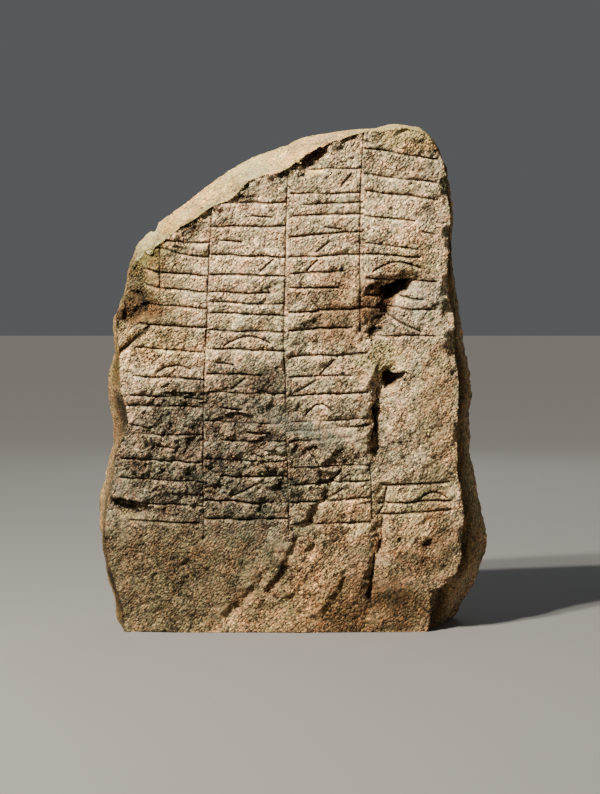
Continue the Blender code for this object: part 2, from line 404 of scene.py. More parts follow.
# Cracks with their half width and depth: at the deep hole's foot, three pieces of the long one low
# on the right, the slanting break on the left edge, and the crack above the hollow there.
CRACKS = (
    (((0.316, 0.892), (0.304, 0.864), (0.311, 0.850)), 0.0050, 0.009),
    (((0.350, 0.526), (0.341, 0.488), (0.340, 0.462), (0.320, 0.436)), 0.0045, 0.007),
    (((0.334, 0.412), (0.330, 0.378), (0.327, 0.336)), 0.0045, 0.007),
    (((0.302, 0.282), (0.302, 0.244)), 0.0050, 0.008),
    (((-0.526, 1.122), (-0.560, 1.082), (-0.600, 1.048), (-0.640, 1.020)), 0.0130, 0.013),
    (((-0.536, 1.405), (-0.495, 1.408), (-0.400, 1.398)), 0.0045, 0.005),
)
CRACK_WANDER = 0.0014
strokes += [cut_line(line, CRACK_WANDER, half_width, depth) for line, half_width, depth in CRACKS]

# Hollows broken out of the face: how deep; the way its steep wall lies, in degrees up from the right;
# how wide its steep and its gentle wall are; and its rim.
HOLLOWS = (
    # The scoop at the upper right, its shallow apron and the two small hollows under it.
    (0.052, 60, 0.005, 0.040, (
        (0.312, 1.262), (0.345, 1.276), (0.380, 1.288), (0.430, 1.296), (0.452, 1.288), (0.440, 1.262),
        (0.420, 1.236), (0.402, 1.212), (0.376, 1.196), (0.345, 1.182), (0.318, 1.196), (0.306, 1.232)
    )),
    (0.010, 90, 0.005, 0.020, (
        (0.262, 1.257), (0.291, 1.275), (0.330, 1.288), (0.353, 1.286), (0.335, 1.250), (0.291, 1.246)
    )),
    (0.016, 40, 0.004, 0.022, (
        (0.312, 1.210), (0.342, 1.214), (0.364, 1.200), (0.364, 1.166), (0.346, 1.142), (0.322, 1.146),
        (0.308, 1.176)
    )),
    (0.012, 20, 0.004, 0.014, ((0.288, 1.142), (0.309, 1.159), (0.342, 1.162), (0.342, 1.138))),
    (0.013, 120, 0.004, 0.020, (
        (0.276, 1.102), (0.306, 1.112), (0.340, 1.108), (0.316, 1.078), (0.288, 1.050), (0.276, 1.067)
    )),
    # The deep hole, the pocket at its foot, and the wide groove that runs down from there.
    (0.052, 120, 0.004, 0.012, (
        (0.330, 0.946), (0.360, 0.953), (0.392, 0.950), (0.424, 0.957), (0.402, 0.926), (0.388, 0.900),
        (0.368, 0.886), (0.340, 0.888), (0.328, 0.906)
    )),
    (0.016, 45, 0.004, 0.012, (
        (0.302, 0.856), (0.320, 0.852), (0.321, 0.823), (0.295, 0.812), (0.288, 0.819)
    )),
    (0.020, 180, 0.004, 0.020, (
        (0.302, 0.845), (0.288, 0.816), (0.299, 0.761), (0.288, 0.706), (0.280, 0.677), (0.291, 0.633),
        (0.320, 0.637), (0.335, 0.670), (0.335, 0.706), (0.324, 0.742), (0.324, 0.797), (0.320, 0.852)
    )),
    # Pockets on the lower crack, and two pocks to its right.
    (0.018, 30, 0.004, 0.014, (
        (0.317, 0.334), (0.331, 0.337), (0.331, 0.308), (0.320, 0.286), (0.302, 0.279), (0.309, 0.312)
    )),
    (0.022, 20, 0.004, 0.020, (
        (0.293, 0.242), (0.304, 0.246), (0.300, 0.202), (0.294, 0.158), (0.288, 0.080), (0.268, 0.120),
        (0.280, 0.177)
    )),
    (0.009, 120, 0.018, 0.030, (
        (0.440, 0.330), (0.468, 0.352), (0.520, 0.350), (0.532, 0.306), (0.506, 0.276), (0.468, 0.286)
    )),
    (0.009, 120, 0.018, 0.030, (
        (0.448, 0.256), (0.472, 0.280), (0.514, 0.284), (0.516, 0.240), (0.485, 0.216), (0.452, 0.222)
    )),
    (0.009, 100, 0.008, 0.016, (
        (0.372, 0.346), (0.398, 0.352), (0.410, 0.334), (0.392, 0.318), (0.374, 0.324)
    )),
    # The dent low on the left, the hollow high on the left and the small pocket above it.
    (0.020, 100, 0.010, 0.034, (
        (-0.678, 0.489), (-0.629, 0.489), (-0.596, 0.484), (-0.556, 0.472), (-0.500, 0.460),
        (-0.516, 0.432), (-0.556, 0.416), (-0.585, 0.412), (-0.622, 0.418), (-0.660, 0.448)
    )),
    (0.017, 110, 0.020, 0.040, (
        (-0.636, 1.140), (-0.632, 1.206), (-0.606, 1.232), (-0.572, 1.238), (-0.540, 1.232),
        (-0.516, 1.212), (-0.512, 1.186), (-0.532, 1.160), (-0.556, 1.140), (-0.590, 1.126),
        (-0.620, 1.122)
    )),
    (0.012, 45, 0.004, 0.012, (
        (-0.504, 1.257), (-0.494, 1.275), (-0.481, 1.290), (-0.479, 1.257), (-0.494, 1.250)
    )),
    # Breaks under the sloping top arris, from the left.
    (0.014, 110, 0.004, 0.016, (
        (-0.439, 1.458), (-0.410, 1.483), (-0.380, 1.494), (-0.362, 1.483), (-0.388, 1.469),
        (-0.417, 1.454)
    )),
    (0.010, 90, 0.004, 0.014, ((-0.461, 1.399), (-0.446, 1.418), (-0.399, 1.414), (-0.395, 1.399))),
    (0.012, 110, 0.004, 0.012, (
        (-0.234, 1.578), (-0.212, 1.588), (-0.187, 1.584), (-0.198, 1.564), (-0.227, 1.565)
    )),
    (0.016, 120, 0.004, 0.014, (
        (-0.190, 1.630), (-0.169, 1.653), (-0.147, 1.655), (-0.156, 1.619), (-0.180, 1.600),
        (-0.196, 1.611)
    )),
    (0.010, 90, 0.004, 0.012, ((-0.060, 1.673), (-0.019, 1.686), (-0.023, 1.659), (-0.055, 1.655))),
    (0.026, 120, 0.008, 0.034, (
        (0.026, 1.704), (0.044, 1.746), (0.083, 1.772), (0.118, 1.792), (0.160, 1.812), (0.176, 1.800),
        (0.152, 1.770), (0.136, 1.744), (0.112, 1.722), (0.092, 1.700), (0.069, 1.682), (0.042, 1.676)
    )),
    (0.010, 110, 0.004, 0.024, (
        (-0.015, 1.695), (0.014, 1.728), (0.039, 1.746), (0.058, 1.750), (0.042, 1.688), (-0.008, 1.688)
    )),
    (0.011, 60, 0.004, 0.012, ((0.021, 1.666), (0.039, 1.679), (0.054, 1.673), (0.043, 1.659))),
    (0.007, 100, 0.010, 0.020, (
        (0.167, 1.794), (0.204, 1.814), (0.236, 1.829), (0.238, 1.812), (0.196, 1.779), (0.174, 1.775)
    )),
    # Ledges in the rough middle of the face.
    (0.014, 95, 0.010, 0.030, (
        (-0.300, 0.772), (-0.275, 0.786), (-0.234, 0.801), (-0.191, 0.808), (-0.154, 0.801),
        (-0.110, 0.775), (-0.132, 0.750), (-0.198, 0.753), (-0.256, 0.761), (-0.293, 0.753)
    )),
    (0.010, 90, 0.004, 0.014, ((-0.337, 0.885), (-0.300, 0.881), (-0.304, 0.859), (-0.333, 0.863))),
    (0.010, 90, 0.004, 0.014, (
        (-0.140, 0.878), (-0.110, 0.885), (-0.034, 0.870), (-0.034, 0.856), (-0.118, 0.859)
    )),
    (0.010, 90, 0.004, 0.012, (
        (-0.154, 0.659), (-0.110, 0.651), (-0.056, 0.662), (-0.023, 0.648), (-0.023, 0.633),
        (-0.110, 0.637), (-0.154, 0.640)
    )),
    (0.011, 90, 0.004, 0.014, (
        (-0.326, 0.534), (-0.282, 0.542), (-0.242, 0.538), (-0.256, 0.516), (-0.307, 0.520)
    )),
    (0.010, 90, 0.004, 0.014, ((-0.453, 0.662), (-0.431, 0.673), (-0.410, 0.659), (-0.424, 0.644))),
    (0.008, 90, 0.006, 0.014, (
        (0.087, 0.556), (0.123, 0.560), (0.149, 0.553), (0.142, 0.531), (0.094, 0.531)
    )),
    (0.007, 60, 0.010, 0.018, (
        (0.046, 0.418), (0.079, 0.425), (0.087, 0.400), (0.065, 0.381), (0.036, 0.385)
    )),
    (0.014, 80, 0.004, 0.018, (
        (-0.090, 0.522), (-0.048, 0.548), (-0.026, 0.543), (-0.030, 0.510), (-0.065, 0.502)
    )),
    (0.012, 90, 0.004, 0.020, (
        (-0.490, 0.872), (-0.430, 0.884), (-0.352, 0.878), (-0.346, 0.850), (-0.420, 0.840)
    )),
    (0.008, 60, 0.006, 0.016, (
        (0.109, 0.494), (0.131, 0.520), (0.149, 0.516), (0.134, 0.469), (0.094, 0.465), (0.094, 0.476)
    )),
)

# The long slanting break low on the face and the soft valleys below it, all of which run down to the
# left, with their half width and depth.
VALLEYS = (
    (((0.150, 0.567), (0.120, 0.487), (0.094, 0.458), (0.058, 0.396), (0.000, 0.370)), 0.026, 0.014),
    (((0.030, 0.360), (-0.008, 0.283), (-0.034, 0.213), (-0.088, 0.150)), 0.022, 0.013),
    (((0.092, 0.345), (0.061, 0.283), (0.028, 0.224), (-0.010, 0.165)), 0.018, 0.010),
    (((-0.110, 0.180), (-0.190, 0.110), (-0.240, 0.050)), 0.030, 0.010),
    (((0.200, 0.180), (0.150, 0.110), (0.120, 0.040)), 0.030, 0.008),
    (((-0.360, 0.200), (-0.450, 0.120), (-0.500, 0.040)), 0.034, 0.008),
)

# One long fold runs down the right of the face, from the scoop past the deep hole to the lower crack:
# a height z, the fold's x there, its depth, and how wide its left and its right side are.
LONG_FOLD = (
    (1.330, 0.500, 0.000, 0.10, 0.04),
    (1.246, 0.400, 0.030, 0.17, 0.06),
    (1.162, 0.352, 0.024, 0.16, 0.06),
    (1.064, 0.304, 0.014, 0.13, 0.06),
    (0.954, 0.335, 0.010, 0.05, 0.06),
    (0.834, 0.322, 0.016, 0.05, 0.07),
    (0.688, 0.326, 0.020, 0.06, 0.07),
    (0.600, 0.322, 0.008, 0.06, 0.06),
    (0.487, 0.324, 0.006, 0.05, 0.05),
    (0.323, 0.318, 0.012, 0.05, 0.05),
    (0.159, 0.286, 0.016, 0.05, 0.06),
    (0.000, 0.270, 0.012, 0.05, 0.06),
)

# Chips knocked off the right arris: lowest and highest point, and the x from which the face falls
# back there, at a slope.
CHIPS = (
    (1.600, 1.660, 0.540),
    (1.400, 1.480, 0.556),
    (1.235, 1.305, 0.545),
    (1.165, 1.215, 0.545),
    (1.010, 1.090, 0.561),
    (0.690, 0.760, 0.590),
    (0.325, 0.375, 0.608),
    (0.155, 0.190, 0.560),
    (-0.020, 0.150, 0.505),
)
CHIP_SLOPE = 1.1
CHIP_SHOULDER = 0.45

# Facets at the upper left, where the face turns to the flank: like the chips, but flatter.
LEFT_FACETS = ((1.225, 1.385, -0.494), (1.405, 1.440, -0.500))
LEFT_SLOPE = 0.65


def inside(x, z, low, high):
    """Which points lie between two opposite corners of an upright box, as their numbers."""
    return np.flatnonzero((x > low[0]) & (x < high[0]) & (z > low[1]) & (z < high[1]))


def nearest(lines, x, z, reach):
    """The nearest carved line to each point: how far it is, the place on it, its half width and depth.

    A line is a chain of straight runs. The distance to a run is that to its nearest place, found by
    projecting the point onto it and stopping at its ends. Points further than reach keep that distance.
    """
    found = np.full(len(x), reach)
    place = np.column_stack([x, z])
    size = np.zeros((len(x), 2))
    for line, half_width, depth in lines:
        low, high = line.min(axis=0) - reach, line.max(axis=0) + reach
        near = inside(x, z, low, high)
        here = np.column_stack([x[near], z[near]])[:, None]
        start, run = line[:-1], np.diff(line, axis=0)
        t = np.clip(((here - start) * run).sum(axis=2) / (run**2).sum(axis=1), 0, 1)
        spots = start + t[:, :, None] * run
        away = np.hypot(*(here - spots).transpose(2, 0, 1))
        best = away.argmin(axis=1)
        row = np.arange(len(near))
        closer = away[row, best] < found[near]
        chosen = near[closer]
        found[chosen] = away[row, best][closer]
        place[chosen] = spots[row, best][closer]
        size[chosen] = half_width, depth
    return found, place, size


# A side looks back, to the front or down where its normal's y or z is past one of these.
LOOKS_BACK = 0.3
LOOKS_FRONT = -0.6
LOOKS_DOWN = -0.9
# The longest edge allowed in each part of the finished surface: a stroke's within STROKE_BAND of its
# middle, and an arris's from ARRIS_FOOT up.
STROKE_EDGE = 0.0068
FACE_EDGE = 0.0100
ARRIS_EDGE = 0.0090
FLANK_EDGE = 0.024
BACK_EDGE = 0.038
BASE_EDGE = 0.090
STROKE_BAND = 0.008
ARRIS_FOOT = 0.02
ROUNDS = 12
BASE_CLEARANCE = 0.0005
rims = [(np.array(rim + rim[:1]), 0, 0) for *_, rim in HOLLOWS]


def longest_allowed(places, normals, at_arris):
    """The longest edge allowed at each place: shortest in the strokes and at the rims of hollows."""
    underneath = (places[:, 2] < 0.001) & (normals[:, 2] < LOOKS_DOWN)
    allowed = np.where(normals[:, 1] > LOOKS_BACK, BACK_EDGE, FLANK_EDGE)
    allowed = np.where(normals[:, 1] < LOOKS_FRONT, FACE_EDGE, allowed)
    front = np.flatnonzero(normals[:, 1] < LOOKS_FRONT)
    away = nearest(strokes + rims, places[front, 0], places[front, 2], 2 * STROKE_BAND)[0]
    allowed[front[away < STROKE_BAND]] = STROKE_EDGE
    at_arris = at_arris & (places[:, 2] > ARRIS_FOOT)
    allowed = np.where(at_arris, np.minimum(allowed, ARRIS_EDGE), allowed)
    return np.where(underneath, BASE_EDGE, allowed)


def along_surface(points, faces, sources, steps):
    """Each point's distance from the nearest source, measured along the mesh's edges in so many steps.

    A point that no source reaches in that number of steps is taken as a metre away.
    """
    edges = edges_of(faces)[0]
    length = np.linalg.norm(points[edges[:, 0]] - points[edges[:, 1]], axis=1)
    away = np.where(sources, 0.0, 1.0)
    for _ in range(steps):
        np.minimum.at(away, edges[:, 0], away[edges[:, 1]] + length)
        np.minimum.at(away, edges[:, 1], away[edges[:, 0]] + length)
    return away


def relaxed(points, faces, share, rounds):
    """Moves each point a share of the way to the middle of its neighbours, for a number of rounds."""
    edges = edges_of(faces)[0]
    both = np.concatenate([edges, edges[:, ::-1]])
    count = np.bincount(both[:, 0], minlength=len(points))[:, None]
    for _ in range(rounds):
        sums = [np.bincount(both[:, 0], points[both[:, 1], axis], len(points)) for axis in range(3)]
        points = points + share[:, None] * (np.column_stack(sums) / count - points)
    return points


points, faces = welded(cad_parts["rune_stone"].data)
sharp = arris_points(points, faces)
normals = point_normals(points, faces)
for _ in range(ROUNDS):
    points, normals, sharp, faces = halved(points, normals, sharp, faces)
on_base = points[:, 2] < BASE_CLEARANCE

# The arris of the carved face is worn a little round, but not right at the base. Then each part of
# the stone is known by the way in which it looks, and by how far it is from the top arris and from
# the carved face.
ARRIS_WEAR = 0.014
ARRIS_WEAR_SHARE = 0.35
ARRIS_WEAR_FOOT = 0.04
ARRIS_STEPS = 14
FLANK_STEPS = 16
from_arris = along_surface(points, faces, sharp & (points[:, 2] > ARRIS_WEAR_FOOT), ARRIS_STEPS)
wear = ARRIS_WEAR_SHARE * ramp(from_arris, ARRIS_WEAR, 0.0) * ~on_base
points = relaxed(points, faces, wear, 2)
normals = point_normals(points, faces)
on_face = ramp(normals[:, 1], -0.45, -0.75)
on_top = ramp(normals[:, 2], 0.30, 0.60)
from_top = along_surface(points, faces, sharp & (normals[:, 2] > 0.30), ARRIS_STEPS)
from_face = along_surface(points, faces, on_face > 0.9, FLANK_STEPS)


def dish(x, z, centre, half_sizes, turn=0.0):
    """A dish on an ellipse turned by an angle: 0 at its rim, and 1 from half way in to its centre.

    Between them it follows ramp over the square of the distance from the centre.
    """
    dx, dz = x - centre[0], z - centre[1]
    along = (dx * math.cos(turn) + dz * math.sin(turn)) / half_sizes[0]
    over = (dz * math.cos(turn) - dx * math.sin(turn)) / half_sizes[1]
    return ramp(along**2 + over**2, 1.0, 0.25)


def hollow_share(x, z, steep_way, steep, gentle, rim):
    """A hollow inside a rim: 0 outside it, and 1 where every wall has reached the floor.

    Each side of the rim has a wall that falls over its own width: steep where the side looks
    the steep way, gentle where it looks the other way, and between the two elsewhere.
    """
    share = np.zeros(len(x))
    corners = np.array(rim)
    low, high = corners.min(axis=0), corners.max(axis=0)
    near = inside(x, z, low, high)
    here = np.column_stack([x[near], z[near]])
    sides = np.roll(corners, -1, axis=0) - corners
    clockwise = (corners[:, 0] * sides[:, 1] - corners[:, 1] * sides[:, 0]).sum() < 0
    within = np.zeros(len(near), bool)
    fallen = np.ones(len(near))
    for start, run in zip(corners, sides):
        to_point = here - start
        t = np.clip(to_point @ run / (run @ run), 0, 1)
        away = np.linalg.norm(to_point - np.outer(t, run), axis=1)
        looks = math.atan2(-run[0], run[1]) + math.pi * clockwise
        width = gentle + (steep - gentle) * (1 + math.cos(looks - math.radians(steep_way))) / 2
        fallen = np.minimum(fallen, away / width)
        crosses = (start[1] > here[:, 1]) != (start[1] + run[1] > here[:, 1])
        if run[1]:
            within ^= crosses & (to_point[:, 0] < to_point[:, 1] * run[0] / run[1])
    share[near] = ramp(fallen, 0, 1) * within
    return share


# Hollows and chips have ragged edges, because their shapes are looked up a little beside each point.
EDGE_STRAY_X = ((0.0055, 0.030, 51), (0.0035, 0.014, 53))
EDGE_STRAY_Z = ((0.0055, 0.030, 52), (0.0035, 0.014, 54))
x, z = points[:, 0].copy(), points[:, 2].copy()
edge_x = x + layered(points, EDGE_STRAY_X)
edge_z = z + layered(points, EDGE_STRAY_Z)
hollows = np.zeros(len(points))
for depth, steep_way, steep, gentle, rim in HOLLOWS:
    share = hollow_share(edge_x, edge_z, steep_way, steep, gentle, rim)
    hollows = np.maximum(hollows, depth * share)

# The face is set back in a torn strip right under the top arris.
UNDERCUT = 0.006
UNDERCUT_STRIP = (0.060, 0.014)
UNDERCUT_TEARS = ((1.1, 0.060, 61), (0.6, 0.022, 62))
torn = np.clip(0.45 + layered(points, UNDERCUT_TEARS), 0, 1.3)
undercut = UNDERCUT * torn * ramp(from_top, 0.0, 0.006) * ramp(from_top, *UNDERCUT_STRIP)

# Chips fall back from their inner edge at a slope, and run out over the flank behind the arris.
CHIP_RUN_OUT = 0.110
chips = np.zeros(len(points))
for rows, slope in ((CHIPS, CHIP_SLOPE), (LEFT_FACETS, -LEFT_SLOPE)):
    for lowest, highest, inner in rows:
        outside = np.maximum(np.maximum(lowest - edge_z, edge_z - highest), 0)
        chips = np.maximum(chips, slope * (edge_x - inner) - outside / CHIP_SHOULDER)
chips *= ramp(from_face, CHIP_RUN_OUT, 0.0)

# A notch in the left shoulder, where the smooth sloping top ends: steep on its left, gentle on its right.
NOTCH_DEPTH = 0.012
NOTCH_LEFT = (-0.538, -0.529)
NOTCH_RIGHT = (-0.500, -0.523)
notch = NOTCH_DEPTH * ramp(x, *NOTCH_LEFT) * ramp(x, *NOTCH_RIGHT) * ramp(normals[:, 2], 0.1, 0.4)

# Where the face is rugged: in a wide band across its middle but for two smooth patches, in the
# hollows, and in a torn strip under the top arris. An area is a centre, half sizes and, where it
# slants, a turn; the edges of the wide ones wander.
RUGGED_BAND = ((-0.190, 0.645), (0.560, 0.290))
SMOOTH_PATCH = ((0.065, 0.742), (0.230, 0.062), -0.25)
SMALL_PATCH = ((-0.145, 0.835), (0.070, 0.028), 0.3)
ROUGH_SHOULDER = ((-0.570, 1.400), (0.120, 0.130))
TORN_STRIP = (0.085, 0.030)
AREA_STRAY_X = ((0.06, 0.17, 101),)
AREA_STRAY_Z = ((0.05, 0.17, 102),)
area_x = x + layered(points, AREA_STRAY_X)
area_z = z + layered(points, AREA_STRAY_Z)
smooth_patch = dish(x, z, *SMOOTH_PATCH)
rugged = dish(area_x, area_z, *RUGGED_BAND) * on_face
rugged *= (1 - smooth_patch) * (1 - 0.8 * dish(x, z, *SMALL_PATCH))
rugged = np.maximum(rugged, 0.9 * ramp(hollows, 0.002, 0.010))
torn_top = (0.5 + 0.5 * noise(points, 0.05, 103)) * ramp(from_top, *TORN_STRIP)
torn_top *= 1 - 0.6 * ramp(x, 0.20, 0.40)
rugged = np.maximum(rugged, torn_top * on_face)

# How bold the grain is: full where the face is rugged, half on the rest of it, a little less on the
# foot, and low on the smooth patch and on the smooth sloping top.
PLAIN_GRAIN = 0.47
calm = ramp(z, 0.38, 0.24)
smooth_top = on_top * (1 - 0.8 * dish(x, z, *ROUGH_SHOULDER))
smooth_top *= np.clip(0.85 + 0.8 * noise(points, 0.110, 72), 0.3, 1)
bold = PLAIN_GRAIN + (1 - PLAIN_GRAIN) * rugged + 0.25 * noise(points, 0.30, 71)
bold *= (1 - 0.15 * calm) * (1 - 0.70 * smooth_top) * (1 - 0.6 * smooth_patch)

# Broken faces, then grain along the line in which the granite splits, soft folds, the long slanting
# break and the valleys, the long fold, and pits where crystals fell out. A layer is its depth, size,
# seed and lengthening.
RUGGED_FACETS = (0.0078, 0.045, 75, 1.3)
BOLD_FACETS = (0.0062, 0.024, 76, 1.3)
WIDE_FACETS = (0.0015, 0.070, 77, 1.4)
GRAIN = ((0.0044, 0.034, 72, 2.0), (0.0056, 0.020, 73, 1.6), (0.0046, 0.012, 74, 1.4))
FOLDS = ((0.0070, 0.060, 78, 2.8), (0.0060, 0.130, 79, 2.2))
PIT_DEPTH, PIT_SIZE, PIT_SHARE = 0.0048, 0.019, 0.55
broken = rugged * layered(points, [RUGGED_FACETS], facets) + bold * layered(points, [BOLD_FACETS], facets)
broken += layered(points, [WIDE_FACETS], facets)
grain = layered(points, GRAIN) * bold
pitting = PIT_DEPTH * pits(points, PIT_SIZE, 81, PIT_SHARE) * bold
folds = layered(points, FOLDS) * (1 - 0.8 * on_top)
for middle, half_width, depth in VALLEYS:
    away = nearest([(np.array(middle), half_width, depth)], edge_x, edge_z, half_width)[0]
    uneven = np.clip(1.1 + 0.9 * noise(points, 0.070, 55), 0.3, 1.4)
    folds += depth * uneven * ramp(away, half_width, 0.0) * on_face
fold_z, *fold_sizes = np.array(LONG_FOLD)[::-1].T
fold_x, fold_depth, fold_left, fold_right = (np.interp(edge_z, fold_z, size) for size in fold_sizes)
beside = (edge_x - fold_x) / np.where(edge_x < fold_x, fold_left, fold_right)
folds += fold_depth * np.clip(1 - np.abs(beside), 0, 1) ** 1.3 * on_face

# Points close to a stroke's middle move onto it, so that its bottom is one clean edge.
PULL = (0.0018, 0.0050)
STROKE_SHOULDER = 0.022
from_stroke, stroke_place, stroke_size = nearest(strokes, x, z, STROKE_SHOULDER)
pull = (1 - ramp(from_stroke, *PULL)) * on_face
points[:, 0] += pull * (stroke_place[:, 0] - x)
points[:, 2] += pull * (stroke_place[:, 1] - z)
from_stroke = from_stroke * (1 - pull)

# The strokes are V-shaped, a little uneven in width and depth, shallow in the smooth patch, and gone
# where the face has broken away. A wide soft shoulder beside them takes SHOULDER_SHARE of the depth.
SHOULDER_SHARE = 0.28
half_width = np.maximum(stroke_size[:, 0], 0.001) * (1 + 0.20 * noise(points, 0.030, 91))
cut_depth = stroke_size[:, 1] * np.clip(1 + 0.40 * noise(points, 0.070, 92), 0.35, 1.4) * on_face
shoulder = SHOULDER_SHARE * ramp(from_stroke, STROKE_SHOULDER, 0.002)
cut = cut_depth * (np.clip(1 - from_stroke / half_width, 0, 1) + shoulder)
cut *= (1 - ramp(hollows + undercut, 0.004, 0.014)) * (1 - 0.7 * smooth_patch)

# The walls of the strokes are smoother than the face round them.
clean = on_face * ramp(from_stroke, 0.009, 0.003) * ramp(cut, 0.001, 0.003)

# On the face everything is sunk straight back and a little up, so that upper walls overhang.
UPWARD = 0.35
relief = (broken + grain + pitting) * (1 - 0.8 * clean) + folds
into_face = hollows * on_face + undercut * on_face * (1 - on_top) + cut + chips
into_face += relief * on_face
sunk = (relief * (1 - on_face) + notch) * ~on_base
points += np.outer(into_face, (0, 1, UPWARD)) - normals * sunk[:, None]
points[:, 2] = np.where(on_base, 0, np.maximum(points[:, 2], BASE_CLEARANCE))

# How the colour changes over the face: each tint with its area, which is a centre, half sizes and,
# where it slants, a turn.
TINTS = (
    # The dark band across the lower middle, part grey colour and part painted shade, with darker and
    # lighter stretches.
    ((0.385, 0.415, 0.450), (-0.380, 0.450), (0.720, 0.520), 0.90),
    ((0.68, 0.68, 0.68), (-0.078, 0.900), (0.190, 0.080)),
    ((1.60, 1.54, 1.46), (-0.078, 0.570), (0.110, 0.080)),
    ((1.38, 1.34, 1.28), (-0.520, 0.620), (0.140, 0.110)),
    ((0.68, 0.67, 0.66), (0.255, 0.700), (0.230, 0.100)),
    # The grey smooth patch in it.
    ((0.60, 0.67, 0.74), (0.060, 0.750), (0.230, 0.062), -0.30),
    # The brown foot, part dirt and part painted shade, with paler and darker places.
    ((0.80, 0.71, 0.57), (-0.450, 0.050), (0.800, 0.460)),
    ((0.57, 0.53, 0.48), (0.350, 0.100), (0.500, 0.560)),
    ((0.52, 0.47, 0.40), (0.320, 0.050), (0.280, 0.180)),
    ((0.52, 0.50, 0.46), (0.360, 0.170), (0.090, 0.130)),
    ((0.60, 0.58, 0.52), (0.420, 0.130), (0.080, 0.060), -0.50),
    ((0.66, 0.62, 0.58), (0.470, 0.290), (0.090, 0.110), 0.60),
    ((1.60, 1.55, 1.50), (0.366, 0.410), (0.200, 0.130)),
    ((1.24, 1.20, 1.16), (0.080, 0.330), (0.220, 0.190), 0.50),
    ((1.50, 1.45, 1.40), (0.107, 0.180), (0.150, 0.130)),
    # Rust round the scoop with painted shade on its left wall, blue-grey and dark granite beside it, and
    # grey-green above the deep hole.
    ((0.66, 0.58, 0.53), (0.230, 1.200), (0.190, 0.170), 0.60),
    ((0.46, 0.38, 0.32), (0.320, 1.210), (0.085, 0.100), -0.40),
    ((0.74, 0.68, 0.62), (0.440, 1.360), (0.120, 0.100), 0.60),
    ((0.86, 0.92, 1.00), (0.500, 1.220), (0.080, 0.120)),
    ((0.64, 0.62, 0.60), (0.144, 1.123), (0.080, 0.080)),
    ((0.66, 0.67, 0.70), (0.390, 1.123), (0.090, 0.070)),
    ((0.95, 1.00, 0.82), (0.310, 0.990), (0.110, 0.070), 0.50),
    # The right edge, the bright upper right and its yellow corner.
    ((0.66, 0.62, 0.56), (0.540, 0.700), (0.090, 0.500)),
    ((1.34, 1.34, 1.34), (0.366, 1.490), (0.200, 0.150)),
    ((1.00, 0.98, 0.76), (0.430, 1.830), (0.150, 0.080)),
    # The olive shoulder and painted shade in the hollow at the upper left, a bright stretch below, the
    # left edge.
    ((0.62, 0.62, 0.54), (-0.560, 1.300), (0.200, 0.380), 0.30),
    ((0.76, 0.75, 0.73), (-0.374, 1.440), (0.200, 0.120), 0.40),
    ((0.66, 0.68, 0.48), (-0.560, 1.400), (0.120, 0.080), 0.90),
    ((0.58, 0.60, 0.50), (-0.520, 1.320), (0.060, 0.110)),
    ((0.34, 0.28, 0.22), (-0.570, 1.200), (0.100, 0.090), 0.30),
    ((1.42, 1.36, 1.27), (-0.480, 1.030), (0.230, 0.110)),
    ((0.70, 0.68, 0.60), (-0.665, 0.985), (0.050, 0.120)),
)
# The same on the left flank: painted shade in a hollow, an olive bulge above it and the darker foot.
# Its edge at the face is painted bright for a stretch, a painted highlight where it looks towards the
# light.
FLANK_TINTS = (
    ((0.17, 0.15, 0.12), (-0.660, 0.795), (0.085, 0.105)),
    ((0.66, 0.70, 0.52), (-0.690, 0.990), (0.080, 0.120)),
    ((0.52, 0.50, 0.40), (-0.700, 0.100), (0.100, 0.140)),
)
PAINTED_HIGHLIGHT_EDGE = ((-0.705, 0.600), (0.050, 0.160))
PAINTED_HIGHLIGHT_TINT = (2.10, 2.10, 2.10)
RIGHT_FLANK_SHADE = (0.44, 0.40, 0.33)
LEFT_FLANK_SHADE = (0.44, 0.40, 0.31)
SMOOTH_TOP_TINT = (0.89, 0.81, 0.53)
DEEP_HOLLOW_SHADE = 0.45
LIP_HIGHLIGHT = 0.45


def tinted(tone, share, tint):
    """A tone per point, multiplied by a tint where the share is 1, and unchanged where it is 0."""
    return tone * (1 + share[:, None] * (np.array(tint) - 1))


by_face = ramp(from_face, 0.20, 0.03)
by_flank = ramp(normals[:, 0], -0.25, -0.55) * ramp(from_face, 0.24, 0.10)
tone = np.ones((len(points), 3))
for tint, *area in TINTS:
    tone = tinted(tone, by_face * dish(area_x, area_z, *area), tint)
for tint, *area in FLANK_TINTS:
    tone = tinted(tone, by_flank * dish(x, z, *area), tint)
# A painted highlight on a stretch of the face's left edge, where it looks towards the light.
painted_highlight = ramp(from_face, 0.060, 0.020) * dish(x, z, *PAINTED_HIGHLIGHT_EDGE)
tone = tinted(tone, painted_highlight * ramp(normals[:, 0], -0.30, -0.60), PAINTED_HIGHLIGHT_TINT)
# Painted shade on both flanks: most on the right, which looks away from the light, and some on the left,
# which the light only grazes.
tone = tinted(tone, ramp(normals[:, 0], 0.55, 0.85) * (0.8 + 0.5 * by_face), RIGHT_FLANK_SHADE)
tone = tinted(tone, ramp(normals[:, 0], -0.45, -0.80) * (1 - painted_highlight), LEFT_FLANK_SHADE)
tone = tinted(tone, smooth_top, SMOOTH_TOP_TINT)
tone *= (1 - DEEP_HOLLOW_SHADE * ramp(hollows, 0.030, 0.050) * on_face)[:, None]

# The lower lip of each stroke is painted bright, a painted highlight where it looks up towards the light.
below = ramp(stroke_place[:, 1] - z, 0.001, 0.004)
lip = below * ramp(from_stroke, 2.4 * half_width, 1.4 * half_width)
lip *= ramp(from_stroke, 0.6 * half_width, 1.1 * half_width) * ramp(cut_depth, 0.002, 0.006) * on_face
tone *= (1 + LIP_HIGHLIGHT * lip)[:, None]

# Lichen grows in drifts on what looks up, and at the upper right corner.
LICHEN_CORNER = ((0.430, 1.850), (0.160, 0.070))
lichen = 0.9 * on_top * ramp(noise(points, 0.20, 111), -0.25, 0.35)
lichen = np.maximum(lichen, 0.6 * dish(x, z, *LICHEN_CORNER))
